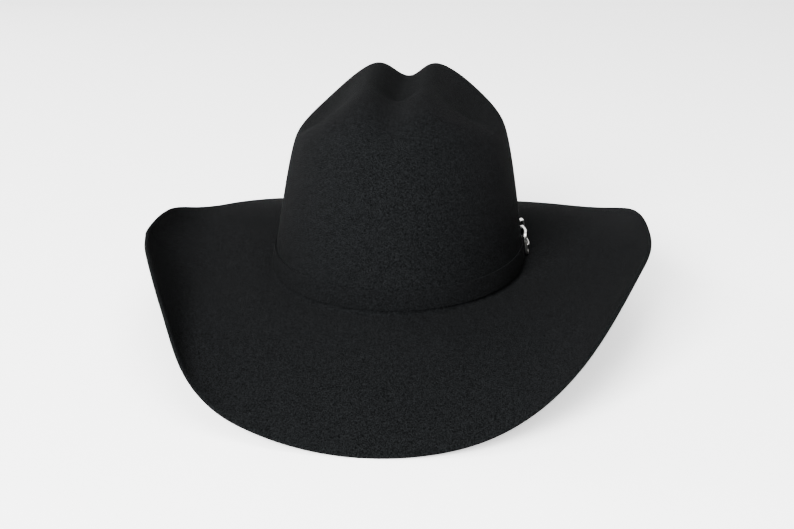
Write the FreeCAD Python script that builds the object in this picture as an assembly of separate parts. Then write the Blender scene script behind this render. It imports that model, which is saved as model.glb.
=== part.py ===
"""Cowboy hat in fur felt, size 7 1/4, with a buckled felt band, sweatband and satin lining.

All lengths are millimetres. The origin is the middle of the head opening, level with the
brim break. The wearer looks along -Y, +X is the wearer's left and +Z is up.
Stations round the hat are angles t: 0 at the front, 90 degrees on +X, 180 at the back.
"""
import FreeCAD, Part
import math
import os

V = FreeCAD.Vector
UP = V(0, 0, 1)

# Crown
HALF_WIDTH = 85.7         # half the crown's width at the brim break
HALF_LENGTH = 104.0       # half its length there
CROWN_HEIGHT = 123.4      # brim break to the top ridges
CROWN_TILT = 6.0          # the back ridge is this much higher than the middle
CROWN_LEAN = 5.8          # the tip sits this far behind the opening's middle
CROWN_SHIFT = 2.7         # and this far to the wearer's left
TAPER = 0.229             # share of the width lost by the top
SQUARENESS = 5.6          # exponent of the crown's side profile
RIDGE_X = 18.2            # where the ridges run beside the centre crease
OPENING_SADDLE = 1.2      # the brim break is higher at front and back by this much

# Side dents: a sloping press from ridge to shoulder, then a hollow behind the front
DENT = {1: (79.6, 85.8), -1: (76.3, 82.0)}   # shoulder's x and height, by side
DENT_SOFTNESS = 2.4
HOLLOW_DEPTH = 6.0
HOLLOW_X = 45.5           # middle of the hollow
HOLLOW_WIDTH = 15.6
HOLLOW_FRONT = -32.0      # it starts here and is full HOLLOW_RAMP further back
HOLLOW_RAMP = 26.0
HOLLOW_REAR = 75.0        # it fades out over HOLLOW_FADE before this
HOLLOW_FADE = 70.0

# Centre crease, shallower in front so that it has a lip
CREASE_DEPTH = 15.5
CREASE_WIDTH = 12.9
CREASE_X = 1.6
CREASE_LIP = 0.45         # share of the depth missing in front
LIP_FRONT = -28.0
LIP_RAMP = 30.0

# Brim; values given by side have the wearer's left (+X) under 1
BRIM_WIDTH = 91.1         # at the sides
BRIM_FRONT = 10.9         # extra width at the front
BRIM_BACK = 0.9           # extra width at the back
BRIM_CORNER = {1: 3.0, -1: 2.7}              # extra width at the front corners
BRIM_CORNER_BACK = {1: 1.6, -1: 3.6}         # and at the back corners
BRIM_SIDE = {1: -2.6, -1: 4.7}               # extra width just at the side
ROLL_ANGLE = {1: 60.4, -1: 79.3}             # slope of the rolled-up edge, degrees
ROLL_START = {1: 89.5, -1: 138.5}           # distance from the middle where the roll starts
ROLL_POWER = {1: 2.22, -1: 1.72}
ROLL_SKEW = {1: 62.4, -1: 74.1}              # the roll's start moves in by this at the front
ROLL_SKEW_FROM = {1: 8.3, -1: 12.2}          # from this distance off the middle
ROLL_SKEW_POWER = {1: 1.43, -1: 1.2}
ROLL_SKEW_BACK = {1: -21.8, -1: -16.9}       # and moves out by this at the back
ROLL_GAIN_FRONT = {1: 0.15, -1: 0.38}        # the roll gets steeper towards the front
ROLL_LOSS_BACK = {1: 0.45, -1: 0.33}         # and flatter towards the back
ROLL_LIMIT = 78.0         # the roll is never steeper than this, degrees
DIP_FRONT = (43.3, 74.5)  # slope at the edge in degrees, and where the dip starts
DIP_BACK = (25.7, 56.6)
BRIM_BREAK = 2.0          # size of the rounding between crown and brim
FELT = 2.4                # felt thickness

# Band, buckle set
STRAP = 0.8               # strap thickness
STRAP_WIDTH = 12.5
STRAP_H = 8.7             # height of the strap's middle line above the brim break
STRAP_GAP = 0.25          # strap to crown
BAR_R = 0.7               # heel bar
BAR_FROM_SIDE = 20.0      # the bar sits this far behind the widest station
FOLD_R = BAR_R + 0.08 + STRAP / 2
D_INNER = STRAP_GAP + STRAP / 2      # distances from the crown to the strap's middle
D_BAR = D_INNER + FOLD_R
D_OUTER = D_BAR + FOLD_R
D_TAIL = D_OUTER + 0.95
D_END = D_INNER + 1.75
RETURN_END = 8.0          # the folded-back layer ends here, measured back from the bar
FLAT_END = 20.0           # strap and tail run side by side up to here
DROP_END = 30.0           # and lie on the crown from here
RISE_START = -12.5        # the tail leaves the crown here, inside the buckle
RISE_END = -1.0
STRAP_END = 41.0
FRAME_INNER_Z = 6.75      # half height of the frame's window
FRAME_OUTER_Z = 8.0
FRAME_REACH = 14.5        # heel bar to the outer bar's middle
FRAME_THICK = 1.3
PRONG_R = 0.5
EYE_R = 1.25
KEEPER_Y = 13.0
KEEPER_LENGTH = 4.2
KEEPER_GAP = 0.45
TIP_START = 36.0
TIP_LENGTH = 11.0

# Inside
SWEAT_IN, SWEAT_OUT = 4.2, 3.3       # sweatband's faces, measured in from the crown's outside
SWEAT_LOW, SWEAT_HIGH = 1.0, 54.0
LINING_OUT, LINING_IN = 2.65, 3.0
SEAM_SHARE = 0.56         # lining seam as a share of the crown's height
REED_R = 0.8

AROUND = 64               # stations round the hat
CROWN_ROWS = 26
BRIM_ROWS = 15
CAP_SHARE = 0.03


def side(x):
    return 1 if x > 0 else -1


def clamp(x, low, high):
    return max(low, min(high, x))


def ease(q):
    q = clamp(q, 0.0, 1.0)
    return q * q * (3 - 2 * q)


def integral(f, upper, steps=24):
    """Simpson's rule from 0 to upper."""
    h = upper / steps
    total = f(0.0) + f(upper)
    for i in range(1, steps):
        total += f(i * h) * (4 if i % 2 else 2)
    return total * h / 3


def base_point(t):
    """Point of the brim break."""
    return V(HALF_WIDTH * math.sin(t), -HALF_LENGTH * math.cos(t),
             OPENING_SADDLE * math.cos(2 * t))


def roll_slope(u, v):
    """Slope of the brim across the hat, radians, at distance u from the middle line."""
    k = side(u)
    reach = HALF_LENGTH + BRIM_WIDTH + BRIM_FRONT
    share = abs(v) / reach
    if v < 0:
        gain = 1 + ROLL_GAIN_FRONT[k] * share ** 2
        skew, begin, power = ROLL_SKEW[k], ROLL_SKEW_FROM[k], ROLL_SKEW_POWER[k]
    else:
        gain = 1 - ROLL_LOSS_BACK[k] * share ** 2
        skew, begin, power = ROLL_SKEW_BACK[k], 30.0, 1.5
    skew *= (max(abs(v) - begin, 0.0) / (reach - begin)) ** power
    start = ROLL_START[k]
    q = (abs(u) + skew - start) / (HALF_WIDTH + BRIM_WIDTH - start)
    slope = ROLL_ANGLE[k] * gain * clamp(q, 0.0, 1.3) ** ROLL_POWER[k]
    return math.radians(min(slope, ROLL_LIMIT))


def dip_slope(v):
    """Downward slope of the brim along the hat, radians."""
    angle, start = DIP_FRONT if v < 0 else DIP_BACK
    reach = HALF_LENGTH + BRIM_WIDTH + BRIM_FRONT
    return math.radians(angle) * clamp((abs(v) - start) / (reach - start), 0.0, 1.3)


def brim_width(t):
    k = side(math.sin(t))
    c = math.cos(t)
    extra = BRIM_FRONT if c > 0 else BRIM_BACK
    corner = BRIM_CORNER[k] if c > 0 else BRIM_CORNER_BACK[k]
    return (BRIM_WIDTH + extra * c * c + corner * math.sin(2 * t) ** 2
            + BRIM_SIDE[k] * math.sin(t) ** 8)


def brim_point(t, out):
    """Point of the brim's upper face, out mm from the brim break along the felt."""
    base = base_point(t)
    nx, ny = math.sin(t) / HALF_WIDTH, -math.cos(t) / HALF_LENGTH
    length = math.hypot(nx, ny)
    u = base.x + nx / length * out
    v = base.y + ny / length * out
    rise = integral(lambda q: math.sin(roll_slope(math.copysign(q, u), v)), abs(u))
    run = integral(lambda q: math.cos(roll_slope(math.copysign(q, u), v)), abs(u))
    run0 = integral(lambda q: math.cos(roll_slope(math.copysign(q, u), v)), abs(base.x))
    rise -= integral(lambda q: math.sin(roll_slope(math.copysign(q, u), v)), abs(base.x))
    fall = integral(lambda q: math.sin(dip_slope(math.copysign(q, v))), abs(v))
    fall -= integral(lambda q: math.sin(dip_slope(math.copysign(q, v))), abs(base.y))
    along = integral(lambda q: math.cos(dip_slope(math.copysign(q, v))), abs(v))
    along0 = integral(lambda q: math.cos(dip_slope(math.copysign(q, v))), abs(base.y))
    return V(base.x + math.copysign(run - run0, u), base.y + math.copysign(along - along0, v),
             base.z + rise - fall)


def crown_point(t, rho, zet):
    """Point of the crown: rho is the share of the plan size, zet the share of the height."""
    z0 = base_point(t).z
    shrink = rho * (1 - TAPER * zet)
    x = HALF_WIDTH * math.sin(t) * shrink + CROWN_SHIFT * zet
    y = -HALF_LENGTH * math.cos(t) * shrink + CROWN_LEAN * zet
    top = CROWN_HEIGHT + CROWN_TILT * y / HALF_LENGTH
    z = z0 * (1 - zet) + top * zet
    shoulder_x, shoulder_z = DENT[side(x)]
    slope = (shoulder_z - CROWN_HEIGHT) / (shoulder_x - RIDGE_X)
    plane = top + slope * (abs(x) - RIDGE_X)
    if zet > 0.3:
        z -= DENT_SOFTNESS * math.log1p(math.exp(clamp((z - plane) / DENT_SOFTNESS, -30, 30)))
    lip = 1 - CREASE_LIP * (1 - ease((y - LIP_FRONT) / LIP_RAMP))
    z -= CREASE_DEPTH * lip * math.exp(-((x - CREASE_X) / CREASE_WIDTH) ** 2) * zet ** 6
    reach = ease((y - HOLLOW_FRONT) / HOLLOW_RAMP) * ease((HOLLOW_REAR - y) / HOLLOW_FADE)
    hollow = HOLLOW_DEPTH * math.exp(-((abs(x) - HOLLOW_X) / HOLLOW_WIDTH) ** 2)
    z -= hollow * reach * ease((zet - 0.35) / 0.3)
    return V(x, y, z)


def crown_by_angle(t, g):
    """The crown's profile swept by the angle g, 0 at the brim break and 90 degrees on top."""
    size = (math.cos(g) ** SQUARENESS + math.sin(g) ** SQUARENESS) ** (1 / SQUARENESS)
    return crown_point(t, math.cos(g) / size, math.sin(g) / size)


def wall_point(t, h):
    """Point of the crown's wall h mm above the brim break."""
    zet = h / (CROWN_HEIGHT - CROWN_TILT * math.cos(t) - base_point(t).z)
    zet = max(zet, 0.0)
    return crown_point(t, (1 - zet ** SQUARENESS) ** (1 / SQUARENESS), zet)


def wall_frame(t, h):
    """Point, outward normal, tangent towards larger t, and upward direction on the wall."""
    p = wall_point(t, h)
    up = wall_point(t, h + 3) - wall_point(t, max(h - 3, 0))
    along = (wall_point(t + 0.02, h) - wall_point(t - 0.02, h)).normalize()
    out = along.cross(up).normalize()
    return p, out, along, out.cross(along)


# Grid of the felt's outer face: one row per level, from the cap on top to the brim's edge

def felt_grid():
    stations = [2 * math.pi * i / AROUND for i in range(AROUND)]
    angle_cap = math.atan(1 / CAP_SHARE)
    angle_low = math.atan(BRIM_BREAK / CROWN_HEIGHT)
    rows = []
    for j in range(CROWN_ROWS + 1):
        g = angle_cap + (angle_low - angle_cap) * j / CROWN_ROWS
        rows.append([crown_by_angle(t, g) for t in stations])
    level = sum(p.z for p in rows[0]) / AROUND
    rows[0] = [V(p.x, p.y, level) for p in rows[0]]
    for q in (0.25, 0.5, 0.75):
        rows.append([rows[CROWN_ROWS][i] * (1 - q) ** 2 + base_point(t) * (2 * q * (1 - q))
                     + brim_point(t, BRIM_BREAK) * q ** 2 for i, t in enumerate(stations)])
    for j in range(BRIM_ROWS + 1):
        q = j / BRIM_ROWS
        rows.append([brim_point(t, BRIM_BREAK + (brim_width(t) - BRIM_BREAK) * q)
                     for t in stations])
    return rows


def grid_normals(rows):
    normals = []
    last = len(rows) - 1
    for j, row in enumerate(rows):
        above, below = rows[max(j - 1, 0)], rows[min(j + 1, last)]
        normals.append([(below[i] - above[i]).cross(row[(i + 1) % AROUND] - row[i - 1]).normalize()
                        for i in range(AROUND)])
    normals[0] = [UP] * AROUND
    return normals


GRID = felt_grid()
NORMALS = grid_normals(GRID)


def offset_row(j, depth):
    return [p - n * depth for p, n in zip(GRID[j], NORMALS[j])]


def between_rows(j, q, depth):
    """Row between level j and j + 1."""
    return [a * (1 - q) + b * q for a, b in zip(offset_row(j, depth), offset_row(j + 1, depth))]


# Surfaces and solids

def row_parameters(rows):
    values = [0.0]
    for a, b in zip(rows, rows[1:]):
        values.append(values[-1] + sum(p.distanceToPoint(q) for p, q in zip(a, b)) / len(a))
    return values


def net_surface(rows):
    """Closed B-spline surface through rows of points that run once round the hat."""
    across = row_parameters(rows)
    columns = []
    for i in range(len(rows[0])):
        curve = Part.BSplineCurve()
        curve.interpolate(Points=[row[i] for row in rows], Parameters=across)
        columns.append(curve)
    v_knots, v_mults = columns[0].getKnots(), columns[0].getMultiplicities()
    column_poles = [c.getPoles() for c in columns]
    around = [float(i) for i in range(len(columns) + 1)]
    poles = []
    for k in range(len(column_poles[0])):
        curve = Part.BSplineCurve()
        curve.interpolate(Points=[c[k] for c in column_poles], PeriodicFlag=True,
                          Parameters=around)
        poles.append(curve.getPoles())
    u_knots, u_mults = curve.getKnots(), curve.getMultiplicities()
    surface = Part.BSplineSurface()
    surface.buildFromPolesMultsKnots([list(p) for p in zip(*poles)], u_mults, v_mults,
                                     u_knots, v_knots, True, False, 3, 3)
    return surface


def solid_from(faces):
    shell = Part.makeShell(faces)
    shell.sewShape()
    solid = Part.makeSolid(shell)
    if solid.Volume < 0:
        solid.reverse()
    return solid


def sheet_solid(outer_rows, inner_rows, capped):
    """Sheet between two nets; capped closes the top with flat ovals, else it is a ring."""
    outer, inner = net_surface(outer_rows), net_surface(inner_rows)
    ends = []
    for surface in (outer, inner):
        v0, v1 = surface.bounds()[2:]
        ends.append((surface.vIso(v0).toShape(), surface.vIso(v1).toShape()))
    faces = [outer.toShape(), inner.toShape(), Part.makeRuledSurface(ends[0][1], ends[1][1])]
    if capped:
        faces += [Part.Face(Part.Wire([e[0]])) for e in ends]
    else:
        faces.append(Part.makeRuledSurface(ends[0][0], ends[1][0]))
    return solid_from(faces)


def strip_solid(sections):
    """Open strip through four-cornered sections."""
    middles = [(s[0] + s[2]) * 0.5 for s in sections]
    values = [0.0]
    for a, b in zip(middles, middles[1:]):
        values.append(values[-1] + a.distanceToPoint(b))
    edges = []
    for k in range(4):
        curve = Part.BSplineCurve()
        curve.interpolate(Points=[s[k] for s in sections], Parameters=values)
        edges.append(curve.toShape())
    faces = [Part.makeRuledSurface(edges[k], edges[(k + 1) % 4]) for k in range(4)]
    for s in (sections[0], sections[-1]):
        faces.append(Part.Face(Part.makePolygon(s + [s[0]])))
    return solid_from(faces)


def wall_strip(t0, t1, steps, low, high, depth0, depth1):
    """Strip on the crown's wall between two stations, heights and depths."""
    sections = []
    for i in range(steps + 1):
        t = t0 + (t1 - t0) * i / steps
        out = wall_frame(t, (low + high) / 2)[1]
        foot, head = wall_point(t, low), wall_point(t, high)
        sections.append([foot - out * depth0, head - out * depth0,
                         head - out * depth1, foot - out * depth1])
    return strip_solid(sections)


def rod(points, radius):
    """Round rod through points."""
    curve = Part.BSplineCurve()
    curve.interpolate(Points=points)
    start = (points[1] - points[0])
    ring = Part.Wire([Part.makeCircle(radius, points[0], start)])
    return Part.Wire([curve.toShape()]).makePipeShell([ring], True, True)


def placed(shape, frame):
    """Move a shape drawn with X out, Y back and Z up onto a frame of the wall."""
    p, out, along, up = frame
    shape.Placement = FreeCAD.Placement(FreeCAD.Matrix(
        out.x, along.x, up.x, p.x, out.y, along.y, up.y, p.y, out.z, along.z, up.z, p.z,
        0, 0, 0, 1))
    return shape


def block(x0, x1, y0, y1, z0, z1):
    return Part.makeBox(x1 - x0, y1 - y0, z1 - z0, V(x0, y0, z0))


def strap_station(s):
    """Station of the place s mm behind the heel bar, measured along the crown."""
    return math.pi / 2 + (BAR_FROM_SIDE + s) / HALF_LENGTH


# Felt body

def make_felt_body():
    rows = range(len(GRID))
    return sheet_solid(GRID, [offset_row(j, FELT) for j in rows], True)


# Band and buckle set

def strap_path():
    """Strap's middle line as (s, distance from the crown), from the folded end to the tip."""
    path = [(RETURN_END * (1 - i / 6), D_INNER) for i in range(6)]
    for i in range(13):
        a = math.pi * i / 12
        path.append((-FOLD_R * math.sin(a), D_BAR - FOLD_R * math.cos(a)))
    path += [(FLAT_END * i / 8, D_OUTER) for i in range(1, 8)]
    for i in range(11):
        q = i / 10
        path.append((FLAT_END + (DROP_END - FLAT_END) * q, D_OUTER + (D_INNER - D_OUTER) * ease(q)))
    round_end = 2 * math.pi * HALF_LENGTH + RISE_START
    path += [(DROP_END + (round_end - DROP_END) * i / 110, D_INNER) for i in range(1, 110)]
    turn = 2 * math.pi * HALF_LENGTH
    for i in range(15):
        q = i / 14
        path.append((turn + RISE_START + (RISE_END - RISE_START) * q,
                     D_INNER + (D_TAIL - D_INNER) * ease(q)))
    path += [(turn + RISE_END + (FLAT_END - RISE_END) * i / 10, D_TAIL) for i in range(1, 10)]
    for i in range(11):
        q = i / 10
        path.append((turn + FLAT_END + (DROP_END - FLAT_END) * q,
                     D_TAIL + (D_END - D_TAIL) * ease(q)))
    path += [(turn + DROP_END + (STRAP_END - DROP_END) * i / 5, D_END) for i in range(1, 6)]
    return path


def make_hat_band():
    middles, ups = [], []
    for s, d in strap_path():
        p, out, along, up = wall_frame(strap_station(s), STRAP_H)
        middles.append(p + out * d)
        ups.append(up)
    sections = []
    last = len(middles) - 1
    for i, (p, up) in enumerate(zip(middles, ups)):
        run = middles[min(i + 1, last)] - middles[max(i - 1, 0)]
        across = run.cross(up).normalize() * (STRAP / 2)
        rise = up * (STRAP_WIDTH / 2)
        sections.append([p - across - rise, p - across + rise, p + across + rise,
                         p + across - rise])
    strap = strip_solid(sections)
    eye_slot = block(-1.9, FOLD_R + STRAP / 2 + 0.1, -2.4, 2.0, -1.3, 1.3)
    tail_low = FOLD_R + STRAP / 2 + 0.1
    prong_slot = block(tail_low, 3.2, -2.2, 1.4, -0.9, 0.9)
    front_slot = block(-0.8, 3.2, -8.8, -2.2, -0.9, 0.9)
    return strap.cut(placed(Part.makeCompound([eye_slot, prong_slot, front_slot]), BAR_FRAME))


def make_buckle_frame():
    heel, middle, outer = V(0, 0, 0), V(1.0, -7.5, 0), V(-0.25, -FRAME_REACH, 0)
    arc = Part.Arc(heel, middle, outer).toShape().Curve
    centre, radius = arc.Center, arc.Radius
    ring = Part.makeCylinder(radius + FRAME_THICK / 2, 2 * FRAME_OUTER_Z,
                             V(centre.x, centre.y, -FRAME_OUTER_Z))
    ring = ring.cut(Part.makeCylinder(radius - FRAME_THICK / 2, 2 * FRAME_OUTER_Z,
                                      V(centre.x, centre.y, -FRAME_OUTER_Z)))
    edge = FRAME_REACH + 1.2
    outline = block(-2, 6, -edge, 0.2, -FRAME_OUTER_Z, FRAME_OUTER_Z)
    corners = [e for e in outline.Edges
               if abs(e.Vertexes[0].X - e.Vertexes[1].X) > 5 and e.Vertexes[0].Y < -edge + 1]
    outline = outline.makeFillet(3.0, corners)
    window = block(-3, 7, -FRAME_REACH + 1.2, 3, -FRAME_INNER_Z, FRAME_INNER_Z)
    corners = [e for e in window.Edges
               if abs(e.Vertexes[0].X - e.Vertexes[1].X) > 5 and e.Vertexes[0].Y < 0]
    window = window.makeFillet(0.8, corners)
    frame = ring.common(outline).cut(window)
    for z in (-FRAME_OUTER_Z, FRAME_INNER_Z):
        boss = Part.makeCylinder(1.25, FRAME_OUTER_Z - FRAME_INNER_Z, V(0, 0, z))
        frame = frame.fuse(boss)
    bore = Part.makeCylinder(BAR_R + 0.01, 4 * FRAME_OUTER_Z, V(0, 0, -2 * FRAME_OUTER_Z))
    return placed(frame.cut(bore).removeSplitter(), BAR_FRAME)


def make_buckle_bar():
    half = FRAME_OUTER_Z + 0.2
    return placed(Part.makeCylinder(BAR_R, 2 * half, V(0, 0, -half)), BAR_FRAME)


def make_buckle_prong():
    tip = V(0.95, -FRAME_REACH - 1.1, 0)
    shank = rod([V(0.6, -0.85, 0), V(1.45, -3.0, 0), V(1.85, -6.0, 0), V(1.9, -9.5, 0),
                 V(1.6, -13.0, 0), tip], PRONG_R)
    end = Part.makeSphere(PRONG_R, tip)
    eye = Part.makeCylinder(EYE_R, 1.6, V(0, 0, -0.8))
    bore = Part.makeCylinder(BAR_R + 0.06, 4, V(0, 0, -2))
    return placed(eye.fuse([shank, end]).cut(bore), BAR_FRAME)


def make_band_keeper():
    low = D_OUTER - STRAP / 2 - KEEPER_GAP
    high = D_TAIL + STRAP / 2 + KEEPER_GAP
    half_z = FRAME_INNER_Z
    half_y = KEEPER_LENGTH / 2
    loop = block(low - 0.7, high + 0.8, -half_y, half_y, -half_z - 1.0, half_z + 1.0)
    edges = [e for e in loop.Edges if abs(e.Vertexes[0].Y - e.Vertexes[1].Y) > 1]
    loop = loop.makeFillet(0.65, edges)
    loop = loop.cut(block(low, high, -half_y - 1, half_y + 1, -half_z, half_z))
    return placed(loop, wall_frame(strap_station(KEEPER_Y), STRAP_H))


def make_band_tip():
    wall = 0.5
    inner = STRAP / 2 + 0.2
    half_z = STRAP_WIDTH / 2 + 0.25
    depth = inner + wall
    outline = [V(-depth, 0, -half_z - wall), V(-depth, 6.5, -half_z - wall),
               V(-depth, TIP_LENGTH, -2.0), V(-depth, TIP_LENGTH, 2.0),
               V(-depth, 6.5, half_z + wall), V(-depth, 0, half_z + wall)]
    body = Part.Face(Part.makePolygon(outline + [outline[0]])).extrude(V(2 * depth, 0, 0))
    body = body.cut(block(-inner, inner, -1, STRAP_END - TIP_START + 0.4, -half_z, half_z))
    frame = wall_frame(strap_station(TIP_START), STRAP_H)
    end = wall_frame(strap_station(TIP_START + TIP_LENGTH), STRAP_H)
    start_p, end_p = frame[0] + frame[1] * D_END, end[0] + end[1] * D_END
    along = (end_p - start_p).normalize()
    up = frame[3]
    out = along.cross(up).normalize()
    return placed(body, (start_p, out, along, out.cross(along)))


def make_fold_stitches():
    inner, outer = D_INNER + STRAP / 2, D_OUTER - STRAP / 2
    threads = []
    for i in range(6):
        z = -5.0 + 2.0 * i
        p, out, along, up = wall_frame(strap_station(4.6), STRAP_H)
        start = p + out * (inner + 0.05) + up * z
        threads.append(Part.makeCylinder(0.25, outer - inner - 0.1, start, out))
    return Part.makeCompound(threads)


def make_tack_stitches():
    face = D_INNER + STRAP / 2 + 0.3
    bend = 0.55
    threads = []
    for t in (0.75 * math.pi, math.pi, 1.25 * math.pi):
        for shift in (-0.9, 0.9):
            p, out, along, up = wall_frame(t, STRAP_H + STRAP_WIDTH / 2)
            p = p + along * shift
            foot = p + out * face - up * 2.2
            low = p + out * face + up * 0.1
            mid = low - out * (bend * (1 - math.sqrt(0.5))) + up * (bend * math.sqrt(0.5))
            high = low - out * bend + up * bend
            end = p + out * 0.3 + up * (0.1 + bend)
            path = Part.Wire([Part.makeLine(foot, low), Part.Arc(low, mid, high).toShape(),
                              Part.makeLine(high, end)])
            ring = Part.Wire([Part.makeCircle(0.25, foot, up)])
            threads.append(path.makePipeShell([ring], True, True))
    return Part.makeCompound(threads)


# Sweatband group

def sweat_frame(t, h):
    """Frame on the straight line from the sweatband's foot to its head at station t."""
    foot, head = wall_point(t, SWEAT_LOW), wall_point(t, SWEAT_HIGH)
    p, out, along, up = wall_frame(t, (SWEAT_LOW + SWEAT_HIGH) / 2)
    share = (h - SWEAT_LOW) / (SWEAT_HIGH - SWEAT_LOW)
    up = (head - foot).normalize()
    out = along.cross(up).normalize()
    return foot + (head - foot) * share, out, along, up


def make_sweatband():
    gap = 0.4 / HALF_WIDTH
    return wall_strip(math.pi + gap, 3 * math.pi - gap, 72, SWEAT_LOW, SWEAT_HIGH,
                      SWEAT_OUT, SWEAT_IN)


def ring_points(h, depth, gap, steps=72):
    points = []
    for i in range(steps + 1):
        t = math.pi + gap + (2 * math.pi - 2 * gap) * i / steps
        p, out, along, up = wall_frame(t, max(h, 0.0))
        points.append(p - out * depth + up * min(h, 0.0))
    return points


def make_sweatband_reed():
    return rod(ring_points(-0.6, 3.9, 0.01), REED_R)


def make_reed_tape():
    gap = 0.6 / HALF_WIDTH
    return wall_strip(math.pi + gap, 3 * math.pi - gap, 72, 0.2, 5.6, 2.8, 3.1)


def make_sweatband_stitches():
    stitches = []
    count = 96
    for i in range(count):
        t = math.pi + 2 * math.pi * (i + 0.5) / count
        p, out, along, up = sweat_frame(t, 3.6)
        start = p - out * (SWEAT_IN + 0.38) - along * 1.7
        stitches.append(Part.makeCylinder(0.22, 3.4, start, along))
    return Part.makeCompound(stitches)


def make_seam_stitches():
    stitches = []
    p, out, along, up = sweat_frame(math.pi, (SWEAT_LOW + SWEAT_HIGH) / 2)
    for i in range(13):
        low = p - out * (SWEAT_IN + 0.42) + up * (-20.0 + 3.5 * i)
        run = along * 4.0 + up * 2.0
        stitches.append(Part.makeCylinder(0.22, run.Length, low - along * 2.0, run))
    return Part.makeCompound(stitches)


def make_sweatband_bow():
    p, out, along, up = sweat_frame(math.pi, 9.0)
    base = p - out * (SWEAT_IN + 0.8)
    pieces = []
    for k in (1, -1):
        path = [(1.9, 1.6), (4.5, 2.2), (8.0, 2.5), (10.4, 2.1), (11.2, 1.5), (10.4, 0.9),
                (8.0, 0.6), (4.5, 0.7), (1.9, 0.9)]
        sections = []
        for i, (x, y) in enumerate(path):
            a, b = path[max(i - 1, 0)], path[min(i + 1, len(path) - 1)]
            run = V(b[0] - a[0], b[1] - a[1], 0).normalize()
            m = base + along * (k * x) - out * y
            thick = (along * (-k * run.y) - out * run.x) * 0.15
            rise = up * (1.6 + 1.4 * math.sin(math.pi * clamp((x - 1.9) / 9.3, 0, 1) / 2))
            sections.append([m - thick - rise, m - thick + rise, m + thick + rise,
                             m + thick - rise])
        pieces.append(strip_solid(sections))
    knot = block(-2.7, -0.3, -1.6, 1.6, -1.8, 1.8)
    knot = knot.makeFillet(0.6, knot.Edges)
    pieces.append(placed(knot, (base, out, along, up)))
    return Part.makeCompound(pieces)


def make_size_label():
    sections = []
    for i in range(7):
        t = 1.25 * math.pi + 8.0 / HALF_LENGTH * (i - 3) / 3
        corners = [sweat_frame(t, h) for h in (16.0, 27.0)]
        near = [p - out * (SWEAT_IN + 0.2) for p, out, along, up in corners]
        far = [p - out * (SWEAT_IN + 0.5) for p, out, along, up in corners]
        sections.append(near + far[::-1])
    return strip_solid(sections)


# Lining group

def seam_level():
    """Row of the grid nearest to the lining seam."""
    return min(range(CROWN_ROWS), key=lambda j: abs(GRID[j][16].z - SEAM_SHARE * CROWN_HEIGHT))


def make_lining_tip():
    rows = list(range(seam_level()))
    nets = []
    for depth in (LINING_OUT, LINING_IN):
        net = [offset_row(j, depth) for j in rows]
        net.append(between_rows(seam_level() - 1, 0.9, depth))
        nets.append(net)
    return sheet_solid(nets[0], nets[1], True)


def make_lining_side():
    nets = []
    for depth in (LINING_OUT, LINING_IN):
        net = [between_rows(seam_level(), 0.1, depth)]
        net += [offset_row(j, depth) for j in range(seam_level() + 1, CROWN_ROWS - 1)]
        nets.append(net)
    return sheet_solid(nets[0], nets[1], False)


def make_lining_piping():
    points = offset_row(seam_level(), LINING_IN + 0.85)
    half = AROUND // 2
    return rod(points[half:] + points[:half], 0.75)


def make_tip_shield():
    rows = range(9)
    return sheet_solid([offset_row(j, LINING_IN + 0.25) for j in rows],
                       [offset_row(j, LINING_IN + 0.55) for j in rows], True)


bar_p, bar_out, bar_along, bar_up = wall_frame(strap_station(0.0), STRAP_H)
BAR_FRAME = (bar_p + bar_out * D_BAR, bar_out, bar_along, bar_up)

NODES = {
    "felt_body": make_felt_body,
    "hat_band": make_hat_band,
    "buckle_frame": make_buckle_frame,
    "buckle_bar": make_buckle_bar,
    "buckle_prong": make_buckle_prong,
    "band_keeper": make_band_keeper,
    "band_tip": make_band_tip,
    "band_fold_stitches": make_fold_stitches,
    "band_tack_stitches": make_tack_stitches,
    "sweatband": make_sweatband,
    "sweatband_reed": make_sweatband_reed,
    "reed_tape": make_reed_tape,
    "sweatband_stitches": make_sweatband_stitches,
    "sweatband_seam_stitches": make_seam_stitches,
    "sweatband_bow": make_sweatband_bow,
    "size_label": make_size_label,
    "lining_side": make_lining_side,
    "lining_tip": make_lining_tip,
    "lining_piping": make_lining_piping,
    "tip_shield": make_tip_shield,
}

os.makedirs("parts", exist_ok=True)
for name, make in NODES.items():
    shape = make()
    shape.exportStep("parts/" + name + ".step")
    box = shape.BoundBox
    print(name, len(shape.Solids), shape.isValid(), round(shape.Volume / 1000, 3), "cm3",
          [round(c, 1) for c in (box.XMin, box.YMin, box.ZMin, box.XMax, box.YMax, box.ZMax)])
print("heel bar", [round(c, 4) for c in BAR_FRAME[0]], [round(c, 5) for c in BAR_FRAME[3]])
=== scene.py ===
"""Black fur-felt cowboy hat: felt, buckled band, sweatband and lining dressed for rendering.

Shapes are worked out in millimetres in the CAD frame, and mesh_object turns them into metres.
Stations t run round the hat in radians: 0 at the front, pi / 2 on +X, pi at the back.
"""
import math

import bmesh
import bpy
import numpy as np
from mathutils import Matrix, Vector


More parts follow.
